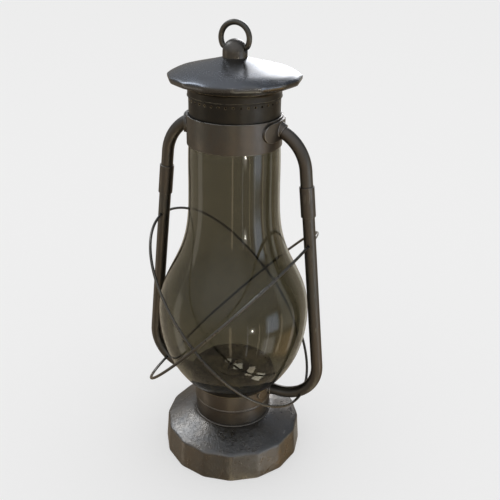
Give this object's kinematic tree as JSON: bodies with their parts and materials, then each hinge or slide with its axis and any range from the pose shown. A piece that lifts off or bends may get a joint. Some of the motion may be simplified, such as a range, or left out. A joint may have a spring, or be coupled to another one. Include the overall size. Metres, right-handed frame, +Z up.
{
  "type": "oil lamp",
  "caption": "Tubular hurricane oil lantern with a many-sided tank, pear-shaped smoked globe, tilted wire guards, side tubes, lifting hood and hang ring.",
  "frame": {"origin": "centre of the tank's underside, on the surface the lamp stands on", "axes": "+Z up along the globe's axis; +X through the right side tube; the wick knob and filler are at the back, +Y"},
  "size_m": [0.1762, 0.1944, 0.4011],
  "materials": {
    "tank_metal": "dark bronzed sheet, worn",
    "frame_metal": "dark bronzed tube, worn",
    "hood_metal": "dark bronzed sheet, worn",
    "wire_metal": "darkened steel wire",
    "burner_brass": "aged brass",
    "glass": "smoked glass",
    "wick_cotton": "woven cotton",
    "gasket_rubber": "oil-resistant rubber",
    "hidden_steel": "plain steel"
  },
  "bodies": {
    "frame": {"fuel_tank": "tank_metal", "tank_bottom_pan": "tank_metal", "filler_spout": "tank_metal", "burner_collar": "frame_metal", "collar_foot_ring": "frame_metal", "burner_body": "burner_brass", "wick_tube": "burner_brass", "shaft_bush": "burner_brass", "globe_plate": "frame_metal", "flame_cone": "burner_brass", "crown_band": "frame_metal", "guard_wire_outer": "wire_metal", "guard_wire_inner": "wire_metal", "lower_tube_right": "frame_metal", "lower_tube_left": "frame_metal", "upper_bend_right": "frame_metal", "upper_bend_left": "frame_metal", "sleeve_right": "frame_metal", "sleeve_left": "frame_metal", "upper_saddle_right": "frame_metal", "upper_saddle_left": "frame_metal", "lower_saddle_right": "frame_metal", "lower_saddle_left": "frame_metal"},
    "globe": {"globe": "glass"},
    "hood": {"chimney": "hood_metal", "chimney_stop_ring": "hood_metal", "cove_ring": "hood_metal", "hood": "hood_metal", "hood_knob": "hood_metal", "knob_rivet": "hidden_steel"},
    "hang_ring": {"hang_ring": "wire_metal"},
    "wick_shaft": {"wick_shaft": "hidden_steel", "feed_wheels": "hidden_steel", "wick_knob": "burner_brass"},
    "wick": {"wick": "wick_cotton"},
    "filler_gasket": {"filler_gasket": "gasket_rubber"},
    "filler_cap": {"filler_cap": "burner_brass"}
  },
  "joints": [
    {"name": "globe_lift", "type": "slide", "parent": "frame", "child": "globe", "axis": [0, 0, 1], "range_m": [0, 0.006]},
    {"name": "hood_lift", "type": "slide", "parent": "globe", "child": "hood", "axis": [0, 0, 1], "range_m": [0, 0.008]},
    {"name": "ring_swing", "type": "hinge", "parent": "hood", "child": "hang_ring", "pos_m": [0, 0, 0.3801], "axis": [1, 0, 0], "range_deg": [-108, 108]},
    {"name": "wick_knob_turn", "type": "hinge", "parent": "frame", "child": "wick_shaft", "pos_m": [0.0045, 0.045, 0.0594], "axis": [0, 1, 0], "range_deg": [-90, 120]},
    {"name": "wick_raise", "type": "slide", "parent": "frame", "child": "wick", "axis": [0, 0, 1], "range_m": [-0.0056, 0.0074]},
    {"name": "filler_cap_rise", "type": "slide", "parent": "frame", "child": "filler_gasket", "axis": [0, 0, 1], "range_m": [0, 0.0051]},
    {"name": "filler_cap_turn", "type": "hinge", "parent": "filler_gasket", "child": "filler_cap", "pos_m": [-0.01915, 0.0451, 0.0421], "axis": [0, 0, 1], "range_deg": [0, 720]}
  ],
  "couplings": [
    {"joint": "wick_raise", "follows": "wick_knob_turn", "m_per_rad": 0.0035},
    {"joint": "filler_cap_rise", "follows": "filler_cap_turn", "m_per_rad": 0.00039789}
  ]
}
